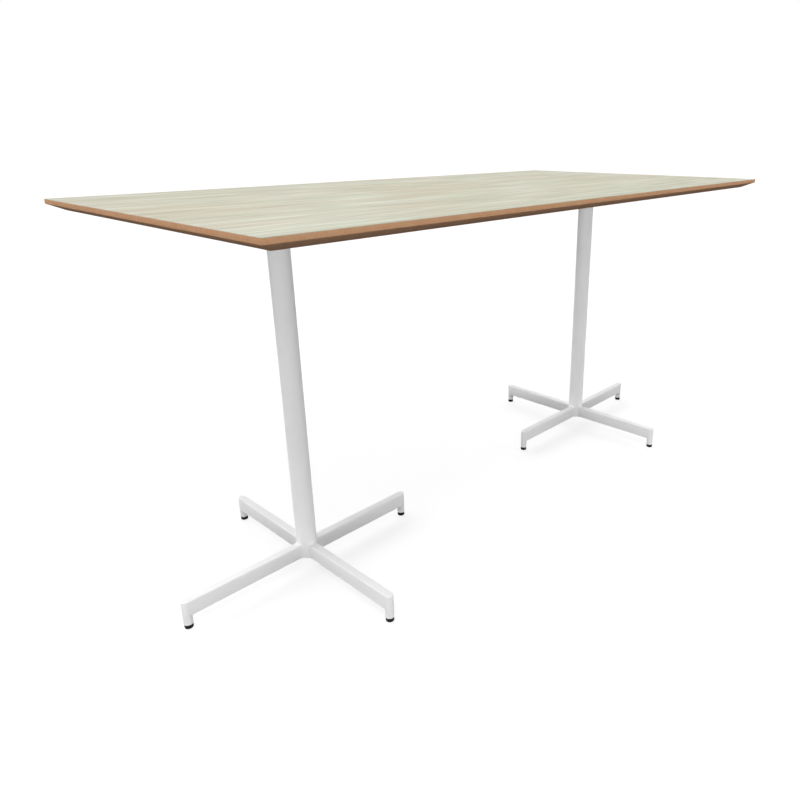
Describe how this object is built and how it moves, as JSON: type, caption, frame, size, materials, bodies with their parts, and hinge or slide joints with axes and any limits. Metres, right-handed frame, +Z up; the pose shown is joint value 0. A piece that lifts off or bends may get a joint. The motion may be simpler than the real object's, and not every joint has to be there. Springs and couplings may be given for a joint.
{
  "type": "standing meeting table",
  "caption": "Rectangular standing-height meeting table: laminate top with a bevelled hardwood edge on round-column pedestals with cross-shaped bases and screw-adjusted levelling glides.",
  "frame": {"origin": "on the floor, under the middle of the top", "axes": "+X along the length of the top, +Y across it towards the rear edge, +Z up"},
  "size_m": [2.1924, 1.0668, 1.0668],
  "materials": {
    "laminate": "satin decorative laminate with a pale, streaky linear wood grain along the length",
    "core_board": "raw particle board",
    "backer": "plain matt balancing laminate",
    "edge_wood": "clear satin lacquer on orange-brown hardwood",
    "powder_coat": "white satin powder coat on steel tube",
    "glide_nylon": "black moulded nylon",
    "black_steel": "black-finished steel",
    "zinc_steel": "bright zinc-plated steel"
  },
  "bodies": {
    "table": {"top_laminate": "laminate", "top_core": "core_board", "top_backer": "backer", "front_edge_lipping": "edge_wood", "right_edge_lipping": "edge_wood", "rear_edge_lipping": "edge_wood", "left_edge_lipping": "edge_wood", "left_column": "powder_coat", "left_top_plate": "powder_coat", "left_plate_screw_1": "zinc_steel", "left_plate_screw_2": "zinc_steel", "left_plate_screw_3": "zinc_steel", "left_plate_screw_4": "zinc_steel", "left_plate_screw_5": "zinc_steel", "left_plate_screw_6": "zinc_steel", "left_outer_arm": "powder_coat", "left_outer_post": "powder_coat", "left_rear_arm": "powder_coat", "left_rear_post": "powder_coat", "left_inner_arm": "powder_coat", "left_inner_post": "powder_coat", "left_front_arm": "powder_coat", "left_front_post": "powder_coat", "right_column": "powder_coat", "right_top_plate": "powder_coat", "right_plate_screw_1": "zinc_steel", "right_plate_screw_2": "zinc_steel", "right_plate_screw_3": "zinc_steel", "right_plate_screw_4": "zinc_steel", "right_plate_screw_5": "zinc_steel", "right_plate_screw_6": "zinc_steel", "right_outer_arm": "powder_coat", "right_outer_post": "powder_coat", "right_rear_arm": "powder_coat", "right_rear_post": "powder_coat", "right_inner_arm": "powder_coat", "right_inner_post": "powder_coat", "right_front_arm": "powder_coat", "right_front_post": "powder_coat"},
    "left_outer_pad": {"left_outer_glide_pad": "glide_nylon"},
    "left_outer_stem": {"left_outer_glide_stem": "black_steel"},
    "left_rear_pad": {"left_rear_glide_pad": "glide_nylon"},
    "left_rear_stem": {"left_rear_glide_stem": "black_steel"},
    "left_inner_pad": {"left_inner_glide_pad": "glide_nylon"},
    "left_inner_stem": {"left_inner_glide_stem": "black_steel"},
    "left_front_pad": {"left_front_glide_pad": "glide_nylon"},
    "left_front_stem": {"left_front_glide_stem": "black_steel"},
    "right_outer_pad": {"right_outer_glide_pad": "glide_nylon"},
    "right_outer_stem": {"right_outer_glide_stem": "black_steel"},
    "right_rear_pad": {"right_rear_glide_pad": "glide_nylon"},
    "right_rear_stem": {"right_rear_glide_stem": "black_steel"},
    "right_inner_pad": {"right_inner_glide_pad": "glide_nylon"},
    "right_inner_stem": {"right_inner_glide_stem": "black_steel"},
    "right_front_pad": {"right_front_glide_pad": "glide_nylon"},
    "right_front_stem": {"right_front_glide_stem": "black_steel"}
  },
  "joints": [
    {"name": "left_outer_glide_travel", "type": "slide", "parent": "table", "child": "left_outer_pad", "axis": [0, 0, -1], "range_m": [0, 0.012]},
    {"name": "left_outer_stem_turn", "type": "hinge", "parent": "left_outer_pad", "child": "left_outer_stem", "pos_m": [-1.0842, 0, 0], "axis": [0, 0, -1], "range_deg": [0, 2880]},
    {"name": "left_rear_glide_travel", "type": "slide", "parent": "table", "child": "left_rear_pad", "axis": [0, 0, -1], "range_m": [0, 0.012]},
    {"name": "left_rear_stem_turn", "type": "hinge", "parent": "left_rear_pad", "child": "left_rear_stem", "pos_m": [-0.7112, 0.373, 0], "axis": [0, 0, -1], "range_deg": [0, 2880]},
    {"name": "left_inner_glide_travel", "type": "slide", "parent": "table", "child": "left_inner_pad", "axis": [0, 0, -1], "range_m": [0, 0.012]},
    {"name": "left_inner_stem_turn", "type": "hinge", "parent": "left_inner_pad", "child": "left_inner_stem", "pos_m": [-0.3382, 0, 0], "axis": [0, 0, -1], "range_deg": [0, 2880]},
    {"name": "left_front_glide_travel", "type": "slide", "parent": "table", "child": "left_front_pad", "axis": [0, 0, -1], "range_m": [0, 0.012]},
    {"name": "left_front_stem_turn", "type": "hinge", "parent": "left_front_pad", "child": "left_front_stem", "pos_m": [-0.7112, -0.373, 0], "axis": [0, 0, -1], "range_deg": [0, 2880]},
    {"name": "right_outer_glide_travel", "type": "slide", "parent": "table", "child": "right_outer_pad", "axis": [0, 0, -1], "range_m": [0, 0.012]},
    {"name": "right_outer_stem_turn", "type": "hinge", "parent": "right_outer_pad", "child": "right_outer_stem", "pos_m": [1.0842, 0, 0], "axis": [0, 0, -1], "range_deg": [0, 2880]},
    {"name": "right_rear_glide_travel", "type": "slide", "parent": "table", "child": "right_rear_pad", "axis": [0, 0, -1], "range_m": [0, 0.012]},
    {"name": "right_rear_stem_turn", "type": "hinge", "parent": "right_rear_pad", "child": "right_rear_stem", "pos_m": [0.7112, 0.373, 0], "axis": [0, 0, -1], "range_deg": [0, 2880]},
    {"name": "right_inner_glide_travel", "type": "slide", "parent": "table", "child": "right_inner_pad", "axis": [0, 0, -1], "range_m": [0, 0.012]},
    {"name": "right_inner_stem_turn", "type": "hinge", "parent": "right_inner_pad", "child": "right_inner_stem", "pos_m": [0.3382, 0, 0], "axis": [0, 0, -1], "range_deg": [0, 2880]},
    {"name": "right_front_glide_travel", "type": "slide", "parent": "table", "child": "right_front_pad", "axis": [0, 0, -1], "range_m": [0, 0.012]},
    {"name": "right_front_stem_turn", "type": "hinge", "parent": "right_front_pad", "child": "right_front_stem", "pos_m": [0.7112, -0.373, 0], "axis": [0, 0, -1], "range_deg": [0, 2880]}
  ],
  "couplings": [
    {"joint": "left_outer_stem_turn", "follows": "left_outer_glide_travel", "rad_per_m": 4188.8},
    {"joint": "left_rear_stem_turn", "follows": "left_rear_glide_travel", "rad_per_m": 4188.8},
    {"joint": "left_inner_stem_turn", "follows": "left_inner_glide_travel", "rad_per_m": 4188.8},
    {"joint": "left_front_stem_turn", "follows": "left_front_glide_travel", "rad_per_m": 4188.8},
    {"joint": "right_outer_stem_turn", "follows": "right_outer_glide_travel", "rad_per_m": 4188.8},
    {"joint": "right_rear_stem_turn", "follows": "right_rear_glide_travel", "rad_per_m": 4188.8},
    {"joint": "right_inner_stem_turn", "follows": "right_inner_glide_travel", "rad_per_m": 4188.8},
    {"joint": "right_front_stem_turn", "follows": "right_front_glide_travel", "rad_per_m": 4188.8}
  ]
}
